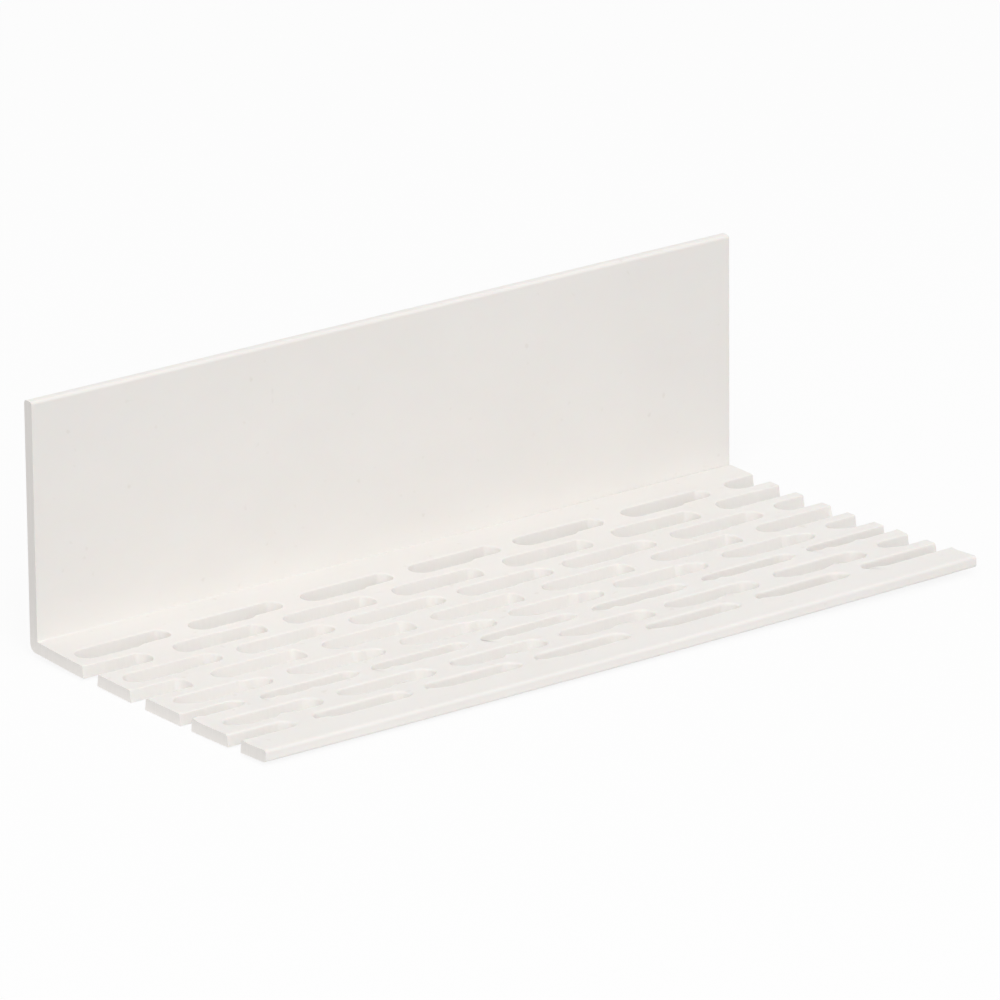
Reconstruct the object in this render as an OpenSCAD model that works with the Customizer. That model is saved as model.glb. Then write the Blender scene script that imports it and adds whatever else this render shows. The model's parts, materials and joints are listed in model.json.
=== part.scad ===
// Ventilation angle profile for the foot of a wall cavity: a plain upright leg that is fixed
// to the wall and a slotted leg that closes the cavity and lets air through.
// It is extruded in one piece, punched with staggered rows of slots and sawn to length.
// X runs along the profile, Y from the front edge to the back of the upright, Z up.
// The origin is the middle of the footprint, on the underside of the slotted leg.

/* [Profile] */
// Length of the sawn piece
length = 100; // [60:1:250]
// Width of the slotted leg, from its front edge to the back of the upright
leg_w = 45; // [30:0.5:80]
// Height of the plain upright, from the underside of the slotted leg
upright_h = 30; // [15:0.5:60]
// Thickness of both legs
wall = 1.4; // [0.8:0.1:2.5]

/* [Edges] */
// Rounding of the heel, where the two legs meet on the outside
heel_r = 1; // [0.2:0.1:2]
// Fillet in the inside corner
inner_r = 0.3; // [0.1:0.1:2]
// Rounding of the front edge and of the upright's top edge
edge_r = 0.4; // [0.1:0.1:1]

/* [Slots] */
// Width of a slot
slot_w = 3.1; // [1.5:0.1:3.6]
// Length of a slot, from tip to tip
slot_l = 12.7; // [6:0.1:14.5]
// Distance from one slot to the next along a row
slot_pitch = 15.5; // [14:0.1:30]

/* [Rows] */
// Distance between neighbouring rows
row_pitch = 4.6; // [4.2:0.1:8]
// Distance from the back of the upright to the middle of the first row
first_row = 7.5; // [5.5:0.1:15]
// Least distance from the middle of the last row to the front edge
front_margin = 4; // [3:0.1:10]
// Where the first slot of an odd row begins, from the left end
odd_start = 1.8; // [-4:0.1:10]
// Where the first slot of an even row begins: before the left end, so the saw cut opens it
even_start = -5; // [-8:0.1:6]
// How much further along the second row is punched than the other even rows
second_row_shift = 1.1; // [-2:0.1:2]

/* [Hidden] */
$fn = 48;
white_pvc = [0.93, 0.925, 0.91];
left_x = -length / 2;
front_y = -leg_w / 2;
back_y = leg_w / 2;
// How far a corner or a slot cutter reaches past the faces it meets
overlap = wall / 2;
// A rounding is never larger than its wall allows
outer_heel_r = min(heel_r, wall);
free_edge_r = min(edge_r, 0.45 * wall);
row_count = floor((leg_w - first_row - front_margin) / row_pitch) + 1;
slot_straight = slot_l - slot_w;

function row_y(row) = back_y - first_row - (row - 1) * row_pitch;
function even_row_start(row) = row == 2 ? even_start + second_row_shift : even_start;
function row_start(row) = row % 2 == 1 ? odd_start : even_row_start(row);
function slots_in(row) = ceil((length - row_start(row)) / slot_pitch);

// What lies between a square corner at the origin and an arc that touches both its sides
module corner_piece(r) {
    difference() {
        translate([-overlap, -overlap]) square(r + overlap);
        translate([r, r]) circle(r);
    }
}

// The two legs, square-edged, with the fillet in the inside corner
module plain_section() {
    translate([front_y, 0]) square([leg_w, wall]);
    translate([back_y - wall, 0]) square([wall, upright_h]);
    translate([back_y - wall, wall]) mirror([1, 0]) corner_piece(inner_r);
}

// The section as extruded, with its heel and free edges rounded
module section() {
    difference() {
        plain_section();
        translate([back_y, 0]) mirror([1, 0]) corner_piece(outer_heel_r);
        translate([front_y, 0]) corner_piece(free_edge_r);
        translate([front_y, wall]) mirror([0, 1]) corner_piece(free_edge_r);
        translate([back_y - wall, upright_h]) mirror([0, 1]) corner_piece(free_edge_r);
        translate([back_y, upright_h]) rotate(180) corner_piece(free_edge_r);
    }
}

// One round-ended slot, from its left tip at the origin along +X, through the slotted leg
module slot() {
    translate([slot_w / 2, 0, -overlap]) linear_extrude(wall + 2 * overlap) {
        translate([0, -slot_w / 2]) square([slot_straight, slot_w]);
        circle(slot_w / 2);
        translate([slot_straight, 0]) circle(slot_w / 2);
    }
}

// All rows of slots, counted from the upright
module slot_rows() {
    for (row = [1 : row_count], i = [0 : slots_in(row) - 1]) {
        translate([left_x + row_start(row) + i * slot_pitch, row_y(row)]) slot();
    }
}

module vent_angle() {
    color(white_pvc) difference() {
        rotate([90, 0, 90]) linear_extrude(length, center = true) section();
        slot_rows();
    }
}

vent_angle();
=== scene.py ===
"""White plastic ventilation angle: the punched and sawn piece, its finishes, a white studio and a camera."""
import json
import math

import bmesh
import bpy
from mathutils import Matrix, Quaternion, Vector


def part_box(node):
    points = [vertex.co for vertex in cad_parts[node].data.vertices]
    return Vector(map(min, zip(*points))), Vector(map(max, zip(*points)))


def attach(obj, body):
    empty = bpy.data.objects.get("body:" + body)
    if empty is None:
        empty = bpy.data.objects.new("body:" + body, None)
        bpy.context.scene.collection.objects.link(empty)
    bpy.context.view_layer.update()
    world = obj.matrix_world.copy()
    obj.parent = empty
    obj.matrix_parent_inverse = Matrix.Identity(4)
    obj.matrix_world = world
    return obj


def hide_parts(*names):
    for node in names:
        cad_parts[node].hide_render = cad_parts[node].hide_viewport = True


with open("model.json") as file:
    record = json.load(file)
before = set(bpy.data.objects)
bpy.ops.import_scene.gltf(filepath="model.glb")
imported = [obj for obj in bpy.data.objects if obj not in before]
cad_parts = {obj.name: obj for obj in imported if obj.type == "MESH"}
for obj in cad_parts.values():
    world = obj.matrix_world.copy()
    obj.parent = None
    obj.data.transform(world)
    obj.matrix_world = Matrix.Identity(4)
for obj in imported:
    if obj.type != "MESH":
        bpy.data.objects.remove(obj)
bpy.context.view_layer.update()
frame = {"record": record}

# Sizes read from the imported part, in metres
PART = "vent_angle"
MM = 0.001
low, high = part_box(PART)
FRONT_Y, BACK_Y = low.y, high.y
TOP_Z = high.z
LENGTH = high.x - low.x
LEG_W = BACK_Y - FRONT_Y
mounts = {mount["name"]: mount for mount in frame["record"]["mounts"]}
odd_slots = mounts["slots_rows_1_and_7"]
even_slots = mounts["slots_rows_4_and_8"]
WALL = odd_slots["pos_m"][2]
INNER_Y = BACK_Y - WALL
SLOT_R = odd_slots["dims"]["hole_r_mm"] * MM
SLOT_L = odd_slots["dims"]["slot_length_mm"] * MM

# The slot rows, from the pitches and rows that the mounts span
ODD_MOUNT_PITCHES = 5
ODD_MOUNT_ROWS = 6
EVEN_MIDDLE_PITCHES = 3
SLOT_PITCH = odd_slots["dims"]["spacing_x_mm"] * MM / ODD_MOUNT_PITCHES
ROW_PITCH = odd_slots["dims"]["spacing_y_mm"] * MM / ODD_MOUNT_ROWS
FIRST_ROW_Y = odd_slots["pos_m"][1] + ODD_MOUNT_ROWS / 2 * ROW_PITCH
FIRST_ODD_X = odd_slots["pos_m"][0] - ODD_MOUNT_PITCHES / 2 * SLOT_PITCH
FIRST_EVEN_X = even_slots["pos_m"][0] - EVEN_MIDDLE_PITCHES * SLOT_PITCH
SECOND_ROW_SHIFT = 1.1 * MM
ROWS = 8

# Roundings of the extruded section
HEEL_R = 1.0 * MM
HEEL_FACETS = 8
EDGE_R = 0.4 * MM
EDGE_FACETS = 5

# How near counts as the same place, how far a face faces an axis or is steep, and which corners are sharp
NEAR = 0.01 * MM
SAME_PLACE = 0.001 * MM
FACING = 0.9
STEEP = 0.5
SHARP_ANGLE = math.radians(40)
SMOOTH_ANGLE = math.radians(50)

# The plain punch: its round sides, its edge lines, and its depth over and under the leg's top face in walls
PUNCH_SIDES = 48
PUNCH_LINES = 13
PUNCH_WALLS_OVER = 1
PUNCH_WALLS_UNDER = 2
SLOT_TAPER = 0.2 * MM

# How far the slot rims are rolled over in each row, from the upright to the front, in mm
RIMS_MM = (0.14, 0.12, 0.15, 0.14, 0.17, 0.18, 0.22, 0.28)
RIM_FACETS = 4

# Each row's punch wear: from X to X on its near or far side, how far its tip and its flank moved, in mm
PUNCH_WEAR_MM = {
    1: [
        (-9, 9, "far", 0, -0.12),
        (1.2, 9, "near", 0, 0.4),
        (4.6, 9, "both", -0.4, 0),
        (-9, -4.6, "both", -0.2, 0),
    ],
    2: [(0, 9, "far", 0, -0.15), (-9, -4.6, "near", -0.35, 0), (4.6, 9, "both", -0.6, 0)],
    3: [(-9, -0.5, "near", 0, -0.12), (0.2, 9, "near", 0, 0.25), (-9, -4.6, "both", -0.2, 0)],
    4: [(-9, -4.6, "both", -0.45, 0), (4.6, 9, "both", -0.9, 0)],
    5: [(-9, -4.6, "near", 0.6, 0.25), (-4.2, 4.2, "near", 0, -0.15), (3.5, 9, "far", -0.5, -0.5)],
    6: [
        (-9, 9, "far", 0, -0.25),
        (-9, 9, "near", 0, 0.45),
        (-9, -4.6, "both", -0.6, 0),
        (4.2, 9, "near", -1.1, 0),
    ],
    7: [(-9, -4.6, "near", 0.5, 0.3), (-0.6, 1.6, "near", 0, 0.3)],
    8: [(-9, 9, "near", 0, 0.4), (-9, -4.6, "near", 0.8, 0.2)],
}

# How far each slot strays along its row, from the left, and how far the rows bow back at their ends, in mm
ODD_STRAYS_MM = (0.35, 0.2, 0.15, -0.1, -0.6, -0.3, -0.3)
EVEN_STRAYS_MM = (0.4, 0.4, 0.0, -0.35, -0.1, 0.2, 0.2)
ROW_BOW_MM = 0.4

# Lips raised along the near rims: the row's lip height, then each burr's place and height, in mm
RAISED_LIPS_MM = {
    5: (0.04, []),
    6: (0.12, [(1.3, 0.2), (5.8, 0.18)]),
    7: (0.06, [(6.9, 0.15)]),
    8: (0.12, [(1.2, 0.1)]),
}
BURR_SPREAD_MM = 0.5

# A lip's foot in front of the rim, what is raised as seen from the row's middle line, and how deep, in rims
LIP_FOOT = 0.45 * MM
LIP_START = 0.2 * SLOT_R
LIP_STOP = SLOT_R + 0.7 * LIP_FOOT
LIP_RIMS = 1.5

# How the sample is out of true: its sawn ends, and the sag, bow and twist of its punched leg
SAW_WASTE = 4 * MM
SAW_SKEW = 0.75 * MM
LEG_SAG = 0.5 * MM
EDGE_BOW = 0.25 * MM
EDGE_TWIST = 0.4 * MM
HEEL_LIFT = 0.656 * MM
BAR_SLICES = 83

# The finishes, by their places in the piece's list: darkest and palest tint, least and most roughness
WALL_FINISH = 1
SAWN_FINISH = 2
SKIN_TINTS = ((0.855, 0.829, 0.799), (0.873, 0.848, 0.819))
SKIN_ROUGHNESS = (0.42, 0.52)
SKIN_SHINE = 0.35
WALL_TINTS = ((0.843, 0.816, 0.786), (0.856, 0.83, 0.801))
WALL_ROUGHNESS = (0.6, 0.75)
# The sawn tints are paler than the skin's: painted light that brightens the sawn end faces
SAWN_TINTS_WITH_PAINTED_LIGHT = ((0.89, 0.859, 0.826), (0.92, 0.889, 0.856))
SAWN_ROUGHNESS = (0.7, 0.85)
MILKY_WEIGHT = 0.1
MILKY_DEPTH = 0.4 * MM

# The part of a factor over which tints and roughness change, and the part of a noise that makes specks
MIDDLE_PART = (0.3, 0.7)
SPECK_PART = (0.77, 0.87)
NO_TINT = (1, 1, 1)
SPECK_TINT = (0.95, 0.943, 0.932)

# The studio: a white sheet under the piece that fades into a greyer table, a surround and three softboxes
FLOOR_SIZE = 6
SHEET_WHITE = (0.9, 0.9, 0.9)
TABLE_GREY = (0.48, 0.48, 0.48)
SHEET_HALVES_MM = (50, 24)
SHEET_FADE = (0.9, 1.2)
FLOOR_WHITE_SHARE = 0.88
SURROUND_STRENGTH = 0.615
SOFTBOX_SIZE = 0.8
SOFTBOX_DISTANCE = 1.2

# Each softbox: its direction from the piece, and its power in watts
SOFTBOXES = {
    "camera_softbox": ((-0.25, -0.35, 0.4), 5.55),
    "top_softbox": ((0, -0.05, 1), 1.5),
    "low_softbox": ((-0.1, -0.8, 0.15), 1.7),
}

# The camera, as fitted to the photograph with the heel on the ground
CAMERA_AZIMUTH = math.radians(37.52)
CAMERA_ELEVATION = math.radians(18.685)
CAMERA_ROLL = math.radians(-0.518)
CAMERA_PLACE_MM = (-629.77, -819.25, 362.52)
FOCAL_PIXELS = 9769.9
PICTURE_PIXELS = 1000
SENSOR_MM = 36


def deselect_all():
    """Leave edit mode and deselect every object."""
    if bpy.context.object and bpy.context.object.mode != "OBJECT":
        bpy.ops.object.mode_set(mode="OBJECT")
    bpy.ops.object.select_all(action="DESELECT")


def make_active(piece):
    """Select one object alone."""
    deselect_all()
    piece.select_set(True)
    bpy.context.view_layer.objects.active = piece


def select_parts(piece, kind, test):
    """In edit mode, select the faces, edges or verts that pass the test, and nothing else."""
    select_modes = {"faces": "FACE", "edges": "EDGE", "verts": "VERT"}
    bpy.ops.mesh.select_mode(type=select_modes[kind])
    bpy.ops.mesh.select_all(action="DESELECT")
    shell = bmesh.from_edit_mesh(piece.data)
    for part in getattr(shell, kind):
        part.select_set(test(part))
    bmesh.update_edit_mesh(piece.data)


def slice_all(place, normal):
    """In edit mode, cut an edge line through the whole mesh along a plane."""
    bpy.ops.mesh.select_all(action="SELECT")
    bpy.ops.mesh.bisect(plane_co=place, plane_no=normal, threshold=SAME_PLACE)


def runs_along(edge, y, z):
    """True for an edge along the profile at this place of its section."""
    return all(abs(v.co.y - y) < NEAR and abs(v.co.z - z) < NEAR for v in edge.verts)


def round_edges(piece, places, radius, facets):
    """Round the edges that run along the profile at these places of its section."""
    select_parts(piece, "edges", lambda e: any(runs_along(e, y, z) for y, z in places))
    bpy.ops.mesh.bevel(offset=radius, segments=facets, profile=0.5, affect="EDGES")


def row_y(row):
    """The middle line of a slot row, counted from the upright."""
    return FIRST_ROW_Y - (row - 1) * ROW_PITCH


def row_at(y):
    """The slot row nearest to this depth of the leg."""
    return min(ROWS, max(1, round((FIRST_ROW_Y - y) / ROW_PITCH) + 1))


def row_rim(row):
    """How far the slot rims of this row are rolled over."""
    return RIMS_MM[row - 1] * MM


def first_slot_x(row):
    """The middle of the first slot of a row."""
    if row % 2:
        return FIRST_ODD_X
    return FIRST_EVEN_X + (SECOND_ROW_SHIFT if row == 2 else 0)


def extrude_angle():
    """The unpunched angle, longer than the part: a flat bar, its back strip drawn up into the upright."""
    deselect_all()
    bpy.ops.mesh.primitive_cube_add(size=1)
    angle = bpy.context.object
    angle.name = "ventilation_angle"
    upright_top = TOP_Z - HEEL_LIFT
    bpy.ops.object.mode_set(mode="EDIT")
    bpy.ops.transform.resize(value=(LENGTH + 2 * SAW_WASTE, LEG_W, WALL))
    bpy.ops.transform.translate(value=(0, 0, WALL / 2))
    slice_all((0, INNER_Y, 0), (0, 1, 0))
    select_parts(angle, "faces", lambda f: f.normal.z > FACING and f.calc_center_median().y > INNER_Y)
    bpy.ops.mesh.extrude_region_move(TRANSFORM_OT_translate={"value": (0, 0, upright_top - WALL)})
    round_edges(angle, [(BACK_Y, 0)], HEEL_R, HEEL_FACETS)
    free_edges = [(FRONT_Y, 0), (FRONT_Y, WALL), (INNER_Y, upright_top), (BACK_Y, upright_top)]
    round_edges(angle, free_edges, EDGE_R, EDGE_FACETS)
    for row in range(1, ROWS + 1):
        slice_all((0, row_y(row), 0), (0, 1, 0))
    bpy.ops.object.mode_set(mode="OBJECT")
    return angle


def plain_punch():
    """One round-ended punch along X, its middle at the origin, with edge lines down its straight sides."""
    deselect_all()
    depth = (PUNCH_WALLS_OVER + PUNCH_WALLS_UNDER) * WALL
    bpy.ops.mesh.primitive_cylinder_add(vertices=PUNCH_SIDES, radius=SLOT_R, depth=depth)
    punch = bpy.context.object
    half_straight = SLOT_L / 2 - SLOT_R
    bpy.ops.object.mode_set(mode="EDIT")
    for side in (-1, 1):
        select_parts(punch, "verts", lambda v: v.co.x * side > NEAR)
        bpy.ops.transform.translate(value=(side * half_straight, 0, 0))
    for i in range(PUNCH_LINES):
        slice_all((half_straight * (2 * i / (PUNCH_LINES - 1) - 1), 0, 0), (1, 0, 0))
    bpy.ops.object.mode_set(mode="OBJECT")
    return punch


def taper_punch(punch):
    """Make the punch a little smaller downwards, its size being right at the leg's top face."""
    bpy.ops.object.mode_set(mode="EDIT")
    for side, walls in ((1, PUNCH_WALLS_OVER), (-1, -PUNCH_WALLS_UNDER)):
        growth = walls * SLOT_TAPER
        select_parts(punch, "verts", lambda v: v.co.z * side > NEAR)
        growths = (1 + 2 * growth / SLOT_L, 1 + growth / SLOT_R, 1)
        bpy.ops.transform.resize(value=growths, center_override=(0, 0, 0))
    bpy.ops.object.mode_set(mode="OBJECT")


def worn_punch(punch, row):
    """A copy of the punch with the wear of this row's own punch."""
    copy = punch.copy()
    copy.data = punch.data.copy()
    bpy.context.scene.collection.objects.link(copy)
    for start, stop, side, tip_move, flank_move in PUNCH_WEAR_MM[row]:
        inner_end = (start if start > 0 else stop) * MM
        for vert in copy.data.vertices:
            aside = vert.co.y / SLOT_R
            other_side = (side == "near" and aside > 0) or (side == "far" and aside < 0)
            if other_side or not start * MM < vert.co.x < stop * MM:
                continue
            outwards = abs(vert.co.x - inner_end) / (SLOT_L / 2 - abs(inner_end)) if tip_move else 0
            vert.co.x += tip_move * MM * outwards * (1 if side == "both" else abs(aside))
            vert.co.y += flank_move * MM * abs(aside)
    make_active(copy)
    taper_punch(copy)
    return copy


def punch_row(punch, row):
    """The row's punch at every place along its row."""
    worn = worn_punch(punch, row)
    punches = []
    for i, stray in enumerate(ODD_STRAYS_MM if row % 2 else EVEN_STRAYS_MM):
        copy = worn.copy()
        copy.data = worn.data.copy()
        x = first_slot_x(row) + i * SLOT_PITCH
        bow = ROW_BOW_MM * MM * (2 * x / LENGTH) ** 2
        copy.location = (x + stray * MM, row_y(row) + bow, WALL / 2)
        bpy.context.scene.collection.objects.link(copy)
        punches.append(copy)
    bpy.data.objects.remove(worn)
    return punches


def punch_slots(angle):
    """Cut every slot through the lying leg with one set of punches."""
    punch = plain_punch()
    punches = []
    for row in range(1, ROWS + 1):
        punches += punch_row(punch, row)
    deselect_all()
    for copy in punches:
        copy.select_set(True)
    bpy.context.view_layer.objects.active = punches[0]
    bpy.ops.object.join()
    punch_set = bpy.context.object
    make_active(angle)
    cut = angle.modifiers.new("punched slots", "BOOLEAN")
    cut.operation = "DIFFERENCE"
    cut.solver = "EXACT"
    cut.object = punch_set
    bpy.ops.object.modifier_apply(modifier=cut.name)
    bpy.data.objects.remove(punch_set)
    bpy.data.objects.remove(punch)
    bpy.ops.object.mode_set(mode="EDIT")
    bpy.ops.mesh.select_all(action="SELECT")
    bpy.ops.mesh.remove_doubles(threshold=SAME_PLACE)
    bpy.ops.object.mode_set(mode="OBJECT")


def give_finish(angle, finish, test):
    """Give the faces that pass the test the finish at this place of the piece's list."""
    make_active(angle)
    bpy.ops.object.mode_set(mode="EDIT")
    select_parts(angle, "faces", test)
    angle.active_material_index = finish
    bpy.ops.object.material_slot_assign()
    bpy.ops.object.mode_set(mode="OBJECT")


def is_slot_wall(face):
    """True for a steep face well inside the lying leg."""
    return abs(face.normal.z) < STEEP and FRONT_Y + WALL < face.calc_center_median().y < INNER_Y - WALL


def finish_walls(angle):
    """Give the piece its three finishes, the skin all over and the slot walls their own."""
    for finish in (extruded_skin(), punched_wall(), sawn_end_with_painted_light()):
        angle.data.materials.append(finish)
    give_finish(angle, WALL_FINISH, is_slot_wall)


def rim_width(edge):
    """How far an edge is rounded: by its row's width at the top rim of a slot, and elsewhere not at all."""
    is_sharp = edge.is_manifold and edge.calc_face_angle() > SHARP_ANGLE
    is_on_top = all(abs(v.co.z - WALL) < NEAR for v in edge.verts)
    return row_rim(row_at(edge.verts[0].co.y)) if is_sharp and is_on_top else 0


def roll_rims(angle):
    """Roll the top rims of the slots over, most in the front rows."""
    widest = max(RIMS_MM) * MM
    make_active(angle)
    bpy.ops.object.mode_set(mode="EDIT")
    shell = bmesh.from_edit_mesh(angle.data)
    layers = shell.edges.layers.float
    weights = layers.get("bevel_weight_edge") or layers.new("bevel_weight_edge")
    for edge in shell.edges:
        edge[weights] = rim_width(edge) / widest
    bmesh.update_edit_mesh(angle.data)
    bpy.ops.object.mode_set(mode="OBJECT")
    rims = angle.modifiers.new("rolled rims", "BEVEL")
    rims.limit_method = "WEIGHT"
    rims.width = widest
    rims.segments = RIM_FACETS
    rims.loop_slide = False
    rims.use_clamp_overlap = False
    bpy.ops.object.modifier_apply(modifier=rims.name)


def slice_bar(angle):
    """Cut the edge lines that the lips and the sag need, once the rims are rolled."""
    make_active(angle)
    bpy.ops.object.mode_set(mode="EDIT")
    for row in RAISED_LIPS_MM:
        slice_all((0, row_y(row) - SLOT_R - LIP_FOOT, 0), (0, 1, 0))
    bar_length = LENGTH + 2 * SAW_WASTE
    for i in range(1, BAR_SLICES):
        slice_all((bar_length * (i / BAR_SLICES - 0.5), 0, 0), (1, 0, 0))
    bpy.ops.object.mode_set(mode="OBJECT")


def raise_lips(angle):
    """Raise the near rims of the worn rows into lips, with the burrs that stand on them."""
    for vert in angle.data.vertices:
        row = row_at(vert.co.y)
        if row not in RAISED_LIPS_MM or not LIP_START < row_y(row) - vert.co.y < LIP_STOP:
            continue
        if vert.co.z < WALL - LIP_RIMS * row_rim(row):
            continue
        lip, burrs = RAISED_LIPS_MM[row]
        along_mm = ((vert.co.x - first_slot_x(row) + SLOT_L / 2) % SLOT_PITCH) / MM
        for place, height in burrs:
            lip += height * math.exp(-(((along_mm - place) / BURR_SPREAD_MM) ** 2))
        vert.co.z += lip * MM


def saw_line(side, y):
    """Where the slanting saw cut of one end lies at this depth of the leg."""
    return side * (LENGTH / 2 - SAW_SKEW * (y - FRONT_Y) / LEG_W)


def saw_ends(angle):
    """Saw both ends off a little out of square, which opens the slots that lie there."""
    make_active(angle)
    bpy.ops.object.mode_set(mode="EDIT")
    for side in (-1, 1):
        bpy.ops.mesh.select_all(action="SELECT")
        bpy.ops.mesh.bisect(
            plane_co=(saw_line(side, FRONT_Y), FRONT_Y, 0),
            plane_no=Vector((side * LEG_W, SAW_SKEW, 0)).normalized(),
            threshold=SAME_PLACE,
            use_fill=True,
            clear_outer=True,
        )
    bpy.ops.object.mode_set(mode="OBJECT")


def on_saw_cut(vert):
    """True for a corner that lies in one of the two saw cuts."""
    return any(abs(vert.co.x - saw_line(side, vert.co.y)) < NEAR for side in (-1, 1))


def is_sawn(face):
    """True for an end face with all its corners in a saw cut."""
    return abs(face.normal.x) > FACING and all(on_saw_cut(v) for v in face.verts)


def finish_sawn_ends(angle):
    """Give the sawn ends their own finish."""
    give_finish(angle, SAWN_FINISH, is_sawn)


def drop_stray_corners(angle):
    """Drop the corners where only two edges meet, since faces fold there when cut into triangles."""
    make_active(angle)
    bpy.ops.object.mode_set(mode="EDIT")
    select_parts(angle, "verts", lambda v: len(v.link_edges) == 2)
    bpy.ops.mesh.dissolve_verts()
    bpy.ops.object.mode_set(mode="OBJECT")


def settle_leg(angle):
    """Let the punched leg sag, bow and twist as the sample's does, standing on its lowest point."""
    for vert in angle.data.vertices:
        ahead = max(0, (INNER_Y - vert.co.y) / (INNER_Y - FRONT_Y))
        along = vert.co.x / LENGTH
        sag = -4 * LEG_SAG * ahead * (1 - ahead)
        bow = -EDGE_BOW * (1 - 4 * along * along) * ahead
        twist = EDGE_TWIST * along * ahead
        vert.co.z += HEEL_LIFT + sag + bow + twist


def smooth_shading(angle):
    """Shade the large faces flat and the roundings smooth."""
    make_active(angle)
    bpy.ops.object.shade_smooth_by_angle(angle=SMOOTH_ANGLE)
    flat = angle.modifiers.new("flat faces", "WEIGHTED_NORMAL")
    flat.keep_sharp = True
    bpy.ops.object.modifier_apply(modifier=flat.name)


def new_material(name):
    """A node material, with its nodes, its links and its shader."""
    material = bpy.data.materials.new(name)
    material.use_nodes = True
    nodes = material.node_tree.nodes
    return material, nodes, material.node_tree.links, nodes["Principled BSDF"]


def stretched_noise(nodes, links, sizes_mm, detail):
    """Noise on the piece's own coordinates, with marks of these sizes along X, Y and Z."""
    place = nodes.new("ShaderNodeTexCoord")
    stretch = nodes.new("ShaderNodeMapping")
    stretch.vector_type = "POINT"
    stretch.inputs["Scale"].default_value = [1 / (size * MM) for size in sizes_mm]
    noise = nodes.new("ShaderNodeTexNoise")
    noise.inputs["Scale"].default_value = 1
    noise.inputs["Detail"].default_value = detail
    links.new(place.outputs["Object"], stretch.inputs["Vector"])
    links.new(stretch.outputs["Vector"], noise.inputs["Vector"])
    return noise.outputs["Fac"]


def spread(nodes, links, factor, part, limits):
    """Turn this part of a factor into a value between two limits."""
    value = nodes.new("ShaderNodeMapRange")
    value.inputs["From Min"].default_value = part[0]
    value.inputs["From Max"].default_value = part[1]
    value.inputs["To Min"].default_value = limits[0]
    value.inputs["To Max"].default_value = limits[1]
    links.new(factor, value.inputs["Value"])
    return value.outputs["Result"]


def tinted(nodes, links, factor, part, tints):
    """A colour that drifts between two tints over this part of a factor."""
    ramp = nodes.new("ShaderNodeValToRGB")
    for element, position, tint in zip(ramp.color_ramp.elements, part, tints):
        element.position = position
        element.color = (*tint, 1)
    links.new(factor, ramp.inputs["Fac"])
    return ramp.outputs["Color"]


def specked(nodes, links, colour):
    """The colour with sparse, faint specks in it."""
    speck_mm = (1, 1, 1)
    dust = stretched_noise(nodes, links, speck_mm, detail=0)
    spots = nodes.new("ShaderNodeVectorMath")
    spots.operation = "MULTIPLY"
    links.new(colour, spots.inputs[0])
    links.new(tinted(nodes, links, dust, SPECK_PART, (NO_TINT, SPECK_TINT)), spots.inputs[1])
    return spots.outputs["Vector"]


def raised(nodes, links, height, depth_mm, under=None):
    """A bump of this depth, laid over another one if given."""
    bump = nodes.new("ShaderNodeBump")
    bump.inputs["Distance"].default_value = depth_mm * MM
    links.new(height, bump.inputs["Height"])
    if under:
        links.new(under, bump.inputs["Normal"])
    return bump.outputs["Normal"]


def make_milky(shader):
    """Let a little light into the plastic."""
    shader.inputs["Subsurface Weight"].default_value = MILKY_WEIGHT
    shader.inputs["Subsurface Scale"].default_value = MILKY_DEPTH


def extruded_skin():
    """Satin skin of the extruded plastic: faint draw lines along the profile and cloudy mottling."""
    cloud_mm = (14, 9, 9)
    line_mm = (60, 0.5, 0.5)
    line_depth_mm = 0.004
    grain_mm = (0.5, 0.3, 0.3)
    grain_depth_mm = 0.002
    material, nodes, links, shader = new_material("extruded_white_pvc")
    clouds = stretched_noise(nodes, links, cloud_mm, detail=3)
    lines = stretched_noise(nodes, links, line_mm, detail=2)
    grain = stretched_noise(nodes, links, grain_mm, detail=2)
    clouded = tinted(nodes, links, clouds, MIDDLE_PART, SKIN_TINTS)
    links.new(specked(nodes, links, clouded), shader.inputs["Base Color"])
    links.new(spread(nodes, links, lines, MIDDLE_PART, SKIN_ROUGHNESS), shader.inputs["Roughness"])
    normal = raised(nodes, links, lines, line_depth_mm)
    links.new(raised(nodes, links, grain, grain_depth_mm, normal), shader.inputs["Normal"])
    shader.inputs["Specular IOR Level"].default_value = SKIN_SHINE
    make_milky(shader)
    return material


def rough_plastic(name, mark_mm, detail, depth_mm, tints, roughness):
    """Plastic whose tint, roughness and bump follow the marks of one tool."""
    material, nodes, links, shader = new_material(name)
    marks = stretched_noise(nodes, links, mark_mm, detail)
    links.new(tinted(nodes, links, marks, MIDDLE_PART, tints), shader.inputs["Base Color"])
    links.new(spread(nodes, links, marks, MIDDLE_PART, roughness), shader.inputs["Roughness"])
    links.new(raised(nodes, links, marks, depth_mm), shader.inputs["Normal"])
    return material, shader


def punched_wall():
    """Sheared walls of the slots: dull, with fine upright drag lines."""
    material, shader = rough_plastic(
        "punched_white_pvc",
        mark_mm=(0.25, 0.25, 3),
        detail=2,
        depth_mm=0.003,
        tints=WALL_TINTS,
        roughness=WALL_ROUGHNESS,
    )
    make_milky(shader)
    return material


def sawn_end_with_painted_light():
    """Sawn ends: rough, with the lines that the saw teeth left, in a tint paler than the skin's that is
    painted light brightening the end faces.
    """
    material, _ = rough_plastic(
        "sawn_white_pvc",
        mark_mm=(0.3, 0.2, 4),
        detail=3,
        depth_mm=0.007,
        # paler than the skin: painted light on the sawn end faces
        tints=SAWN_TINTS_WITH_PAINTED_LIGHT,
        roughness=SAWN_ROUGHNESS,
    )
    return material


def larger(nodes, links, first, second):
    """The larger one of two values."""
    pick = nodes.new("ShaderNodeMath")
    pick.operation = "MAXIMUM"
    links.new(first, pick.inputs[0])
    links.new(second, pick.inputs[1])
    return pick.outputs[0]


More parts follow.
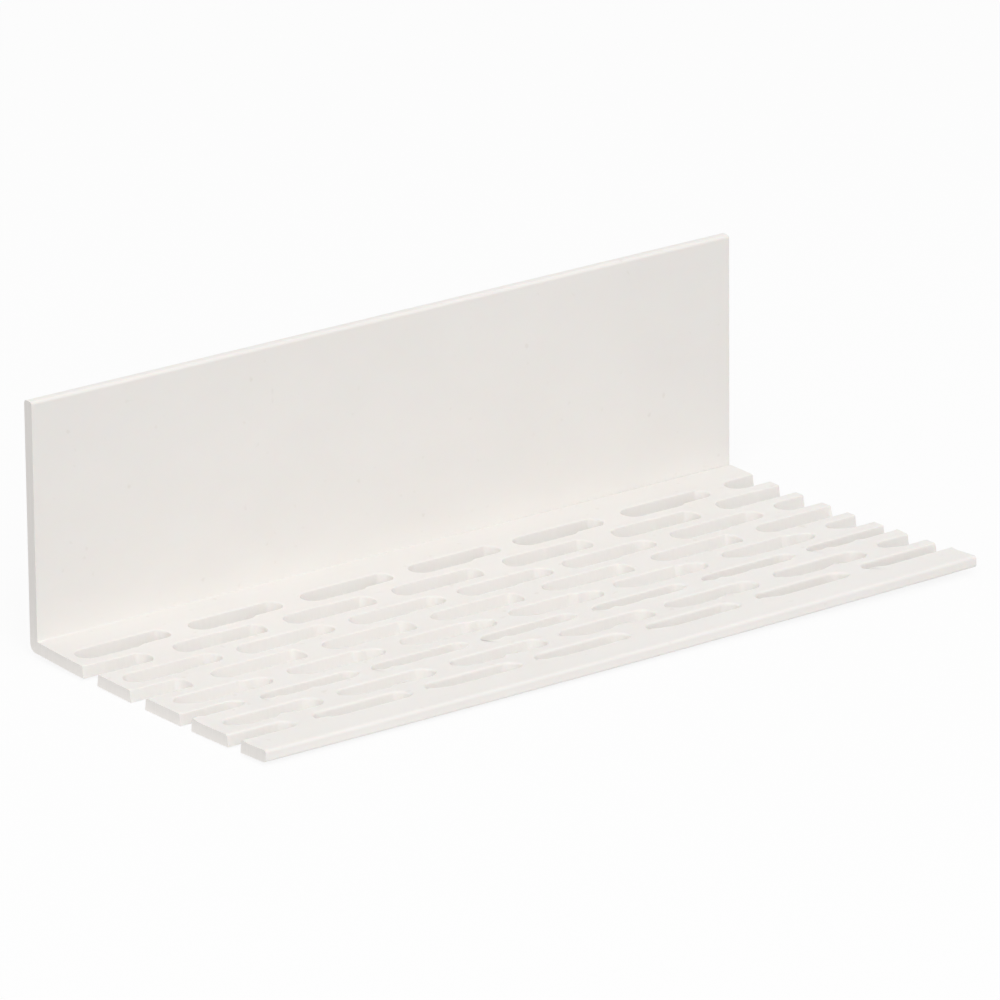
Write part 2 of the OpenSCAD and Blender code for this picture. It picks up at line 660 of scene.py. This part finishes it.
def seen_white(nodes, links, share):
    """How far a surface shows plain white to the camera, in reflections and through clear things."""
    path = nodes.new("ShaderNodeLightPath")
    rays = path.outputs["Is Camera Ray"]
    for kind in ("Is Glossy Ray", "Is Transmission Ray"):
        rays = larger(nodes, links, rays, path.outputs[kind])
    part = nodes.new("ShaderNodeMath")
    part.operation = "MULTIPLY"
    part.inputs[1].default_value = share
    links.new(rays, part.inputs[0])
    return part.outputs[0]


def near_piece(nodes, links):
    """One on the sheet around the piece, falling to nothing on the table beyond it."""
    place = nodes.new("ShaderNodeTexCoord")
    shrink = nodes.new("ShaderNodeMapping")
    shrink.inputs["Scale"].default_value = [1 / (half * MM) for half in SHEET_HALVES_MM] + [0]
    both_sides = nodes.new("ShaderNodeVectorMath")
    both_sides.operation = "ABSOLUTE"
    sides = nodes.new("ShaderNodeSeparateXYZ")
    links.new(place.outputs["Object"], shrink.inputs["Vector"])
    links.new(shrink.outputs["Vector"], both_sides.inputs[0])
    links.new(both_sides.outputs["Vector"], sides.inputs["Vector"])
    reach = larger(nodes, links, sides.outputs["X"], sides.outputs["Y"])
    full, gone = SHEET_FADE
    return spread(nodes, links, reach, (gone, full), (0, 1))


def show_blend(nodes, links, output, factor, first, second):
    """Show a blend of two shaders at this output."""
    blend = nodes.new("ShaderNodeMixShader")
    links.new(factor, blend.inputs["Fac"])
    links.new(first, blend.inputs[1])
    links.new(second, blend.inputs[2])
    links.new(blend.outputs[0], nodes[output].inputs["Surface"])


def white_floor():
    """A white floor that keeps a faint shadow."""
    bpy.ops.mesh.primitive_plane_add(size=FLOOR_SIZE, location=(0, 0, 0))
    floor = bpy.context.object
    floor.name = "studio_floor"
    material, nodes, links, shader = new_material("white_floor")
    sheet = larger(nodes, links, near_piece(nodes, links), seen_white(nodes, links, 1))
    colour = tinted(nodes, links, sheet, MIDDLE_PART, (TABLE_GREY, SHEET_WHITE))
    links.new(colour, shader.inputs["Base Color"])
    shader.inputs["Roughness"].default_value = 1
    shader.inputs["Specular IOR Level"].default_value = 0
    glow = nodes.new("ShaderNodeEmission")
    share = seen_white(nodes, links, FLOOR_WHITE_SHARE)
    show_blend(nodes, links, "Material Output", share, shader.outputs[0], glow.outputs[0])
    floor.data.materials.append(material)


def white_surround():
    """An even surround that is plain white to the camera and dimmer as a light."""
    world = bpy.data.worlds.new("white_surround")
    world.use_nodes = True
    bpy.context.scene.world = world
    nodes, links = world.node_tree.nodes, world.node_tree.links
    soft = nodes["Background"]
    soft.inputs["Strength"].default_value = SURROUND_STRENGTH
    white = nodes.new("ShaderNodeBackground")
    for background in (soft, white):
        background.inputs["Color"].default_value = (1, 1, 1, 1)
    share = seen_white(nodes, links, 1)
    show_blend(nodes, links, "World Output", share, soft.outputs[0], white.outputs[0])


def soft_light(name, direction, power):
    """A large softbox that looks at the piece from this direction."""
    towards_light = Vector(direction).normalized()
    bpy.ops.object.light_add(type="AREA", location=towards_light * SOFTBOX_DISTANCE)
    softbox = bpy.context.object
    softbox.name = name
    softbox.rotation_euler = (-towards_light).to_track_quat("-Z", "Y").to_euler()
    softbox.data.size = SOFTBOX_SIZE
    softbox.data.energy = power


def white_studio():
    """The floor, the surround and the softboxes."""
    white_floor()
    white_surround()
    for name, (direction, power) in SOFTBOXES.items():
        soft_light(name, direction, power)


def photo_camera():
    """The camera at the photograph's place: a long lens, a little above, from the front left."""
    camera = bpy.data.cameras.new("photo_camera")
    camera.sensor_width = SENSOR_MM
    camera.lens = FOCAL_PIXELS / PICTURE_PIXELS * SENSOR_MM
    stand = bpy.data.objects.new("photo_camera", camera)
    level = math.cos(CAMERA_ELEVATION)
    ahead = Vector((
        math.sin(CAMERA_AZIMUTH) * level,
        math.cos(CAMERA_AZIMUTH) * level,
        -math.sin(CAMERA_ELEVATION),
    ))
    stand.location = Vector(CAMERA_PLACE_MM) * MM + Vector((0, 0, HEEL_LIFT))
    stand.rotation_mode = "QUATERNION"
    stand.rotation_quaternion = ahead.to_track_quat("-Z", "Y") @ Quaternion((0, 0, 1), CAMERA_ROLL)
    bpy.context.scene.collection.objects.link(stand)
    bpy.context.scene.camera = stand


angle = extrude_angle()
punch_slots(angle)
finish_walls(angle)
roll_rims(angle)
slice_bar(angle)
raise_lips(angle)
saw_ends(angle)
finish_sawn_ends(angle)
drop_stray_corners(angle)
settle_leg(angle)
smooth_shading(angle)
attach(angle, "root")
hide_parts(PART)

deselect_all()
white_studio()
photo_camera()
bpy.context.scene.view_settings.view_transform = "Standard"
